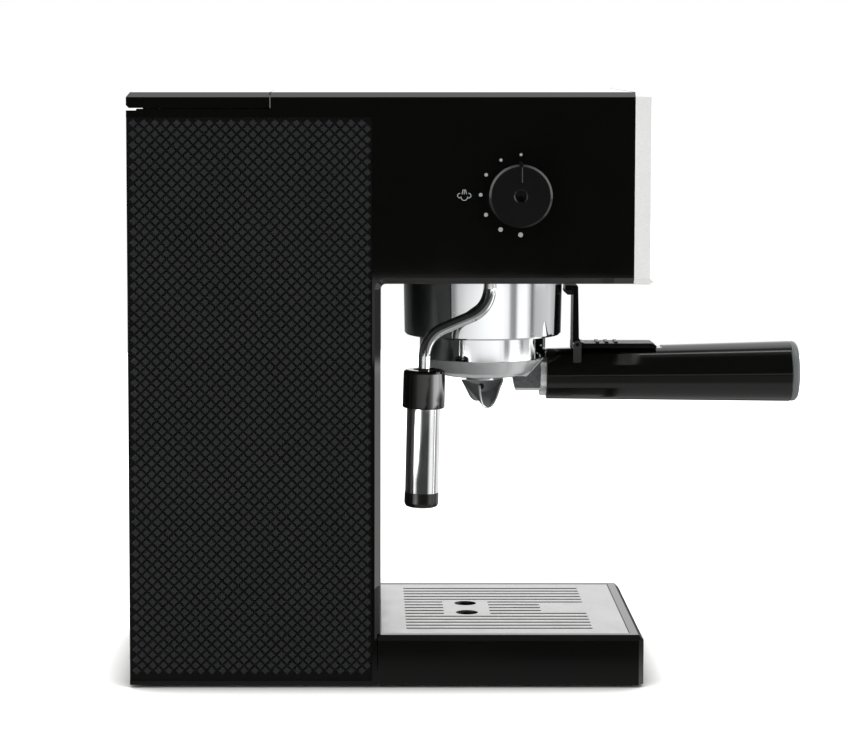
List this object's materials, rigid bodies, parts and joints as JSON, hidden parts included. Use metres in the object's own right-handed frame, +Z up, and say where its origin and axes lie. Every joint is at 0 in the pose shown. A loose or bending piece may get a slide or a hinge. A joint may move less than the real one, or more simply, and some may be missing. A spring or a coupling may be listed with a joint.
{
  "type": "espresso machine",
  "caption": "Slim pump espresso machine with a portafilter locked in its group, a side steam knob, swivelling steam wand with frother, lift-out rear water tank and slide-out drip tray.",
  "frame": {"origin": "bottom centre of the box round the whole machine, handle and knob included, on the counter plane the feet stand on; the casing's mid plane is at x = 7.35 mm and the brew group's axis at y = -8.55 mm", "axes": "+Z up, -Y towards the user at the front, -X towards the side with the steam knob and the wand"},
  "size_m": [0.1648, 0.3594, 0.3102],
  "materials": {
    "gloss_black": "glossy black ABS",
    "satin_aluminium": "bead-blasted, clear anodised",
    "splash_panel": "glossy black ABS",
    "underside_black": "fine-grained black ABS",
    "rear_black": "fine-grained black ABS",
    "fastener_steel": "zinc plated",
    "base_black": "matt black ABS",
    "rubber_black": "matt",
    "lens_white": "translucent white",
    "circuit_board": "green solder mask",
    "switch_black": "matt",
    "frame_steel": "galvanised sheet",
    "pump_body": "moulded nylon",
    "silicone": "translucent silicone",
    "well_grey": "matt ABS",
    "socket_black": "matt acetal",
    "gasket_rubber": "matt",
    "cast_aluminium": "as cast, machined faces",
    "stainless": "satin stainless",
    "element_steel": "tarnished stainless",
    "thermostat_ceramic": "glazed",
    "chrome": "polished chrome plate",
    "valve_brass": "machined",
    "polished_steel": "polished stainless",
    "core_rubber": "matt",
    "grip_black": "satin black nylon",
    "knob_black": "glossy black ABS",
    "button_black": "glossy",
    "end_cap_grey": "satin grey",
    "basket_steel": "pressed stainless",
    "bar_black": "satin black",
    "clear_tank": "clear styrene acrylonitrile"
  },
  "bodies": {
    "housing": {"left_side_panel": "gloss_black", "right_side_panel": "gloss_black", "tower_front_panel": "splash_panel", "head_underside_panel": "underside_black", "rear_panel": "rear_black", "rear_screws": "fastener_steel", "cord_gland": "rubber_black", "base_pan": "base_black", "feet": "rubber_black", "top_cover": "gloss_black", "front_panel": "satin_aluminium", "indicator_lenses": "lens_white", "control_board": "circuit_board", "button_switches": "switch_black", "power_board": "circuit_board", "chassis_frame": "frame_steel", "pump": "pump_body", "pump_mounts": "rubber_black", "suction_hose": "silicone", "pressure_hose": "silicone", "tank_well": "well_grey", "tank_socket": "socket_black", "socket_o_ring": "gasket_rubber", "group_head": "cast_aluminium", "boiler": "cast_aluminium", "boiler_bolts": "fastener_steel", "heating_element": "element_steel", "thermostats": "thermostat_ceramic", "group_gasket": "gasket_rubber", "shower_screen": "stainless", "screen_screw": "stainless", "group_cover": "chrome", "steam_valve": "valve_brass", "steam_tube": "stainless", "wand_socket": "socket_black"},
    "steam_wand": {"steam_pipe": "polished_steel", "nozzle_core": "core_rubber"},
    "frother": {"frother_collar": "grip_black", "frother_sleeve": "polished_steel", "frother_tip": "grip_black"},
    "steam_control": {"steam_knob": "knob_black", "valve_spindle": "valve_brass"},
    "portafilter": {"portafilter_bowl": "chrome", "filter_basket": "basket_steel", "twin_spout": "chrome", "handle_grip": "grip_black", "handle_tie_rod": "stainless", "handle_end_cap": "end_cap_grey", "press_bar_pin": "bar_black"},
    "basket_press": {"press_bar": "bar_black", "press_bar_pad": "rubber_black"},
    "tray": {"drip_tray": "gloss_black"},
    "grille": {"drip_grille": "stainless"},
    "tank": {"water_tank": "clear_tank", "tank_valve": "silicone", "lid_hinge_pins": "stainless"},
    "lid": {"tank_lid": "gloss_black"},
    "power_key": {"power_button": "button_black"},
    "brew_key": {"brew_button": "button_black"},
    "steam_key": {"steam_button": "button_black"}
  },
  "joints": [
    {"name": "portafilter_turn", "type": "hinge", "parent": "housing", "child": "portafilter", "pos_m": [0.00735, -0.00855, 0.187], "axis": [0, 0, 1], "range_deg": [-45, 0]},
    {"name": "press_bar_tilt", "type": "hinge", "parent": "portafilter", "child": "basket_press", "pos_m": [0.00735, -0.05915, 0.1734], "axis": [-1, 0, 0], "range_deg": [0, 1.5]},
    {"name": "steam_knob_turn", "type": "hinge", "parent": "housing", "child": "steam_control", "pos_m": [-0.07265, -0.02405, 0.2573], "axis": [-1, 0, 0], "range_deg": [0, 180]},
    {"name": "steam_wand_swivel", "type": "hinge", "parent": "housing", "child": "steam_wand", "pos_m": [-0.04865, -0.01015, 0.216], "axis": [0, 0, 1], "range_deg": [-15, 120]},
    {"name": "frother_pull", "type": "slide", "parent": "steam_wand", "child": "frother", "axis": [0, 0.0206, -0.9998], "range_m": [0, 0.06]},
    {"name": "drip_tray_slide", "type": "slide", "parent": "housing", "child": "tray", "axis": [0, -1, 0], "range_m": [0, 0.15]},
    {"name": "drip_grille_lift", "type": "slide", "parent": "tray", "child": "grille", "axis": [0, 0, 1], "range_m": [0, 0.06]},
    {"name": "tank_lift", "type": "slide", "parent": "housing", "child": "tank", "axis": [0, 0, 1], "range_m": [0, 0.19]},
    {"name": "tank_lid_hinge", "type": "hinge", "parent": "tank", "child": "lid", "pos_m": [0.00735, 0.17445, 0.305], "axis": [-1, 0, 0], "range_deg": [0, 100]},
    {"name": "power_button_press", "type": "slide", "parent": "housing", "child": "power_key", "axis": [0, 1, 0], "range_m": [0, 0.0015], "stiffness_N_per_m": 400, "springref_m": -0.001},
    {"name": "brew_button_press", "type": "slide", "parent": "housing", "child": "brew_key", "axis": [0, 1, 0], "range_m": [0, 0.0015], "stiffness_N_per_m": 400, "springref_m": -0.001},
    {"name": "steam_button_press", "type": "slide", "parent": "housing", "child": "steam_key", "axis": [0, 1, 0], "range_m": [0, 0.0015], "stiffness_N_per_m": 400, "springref_m": -0.001}
  ]
}
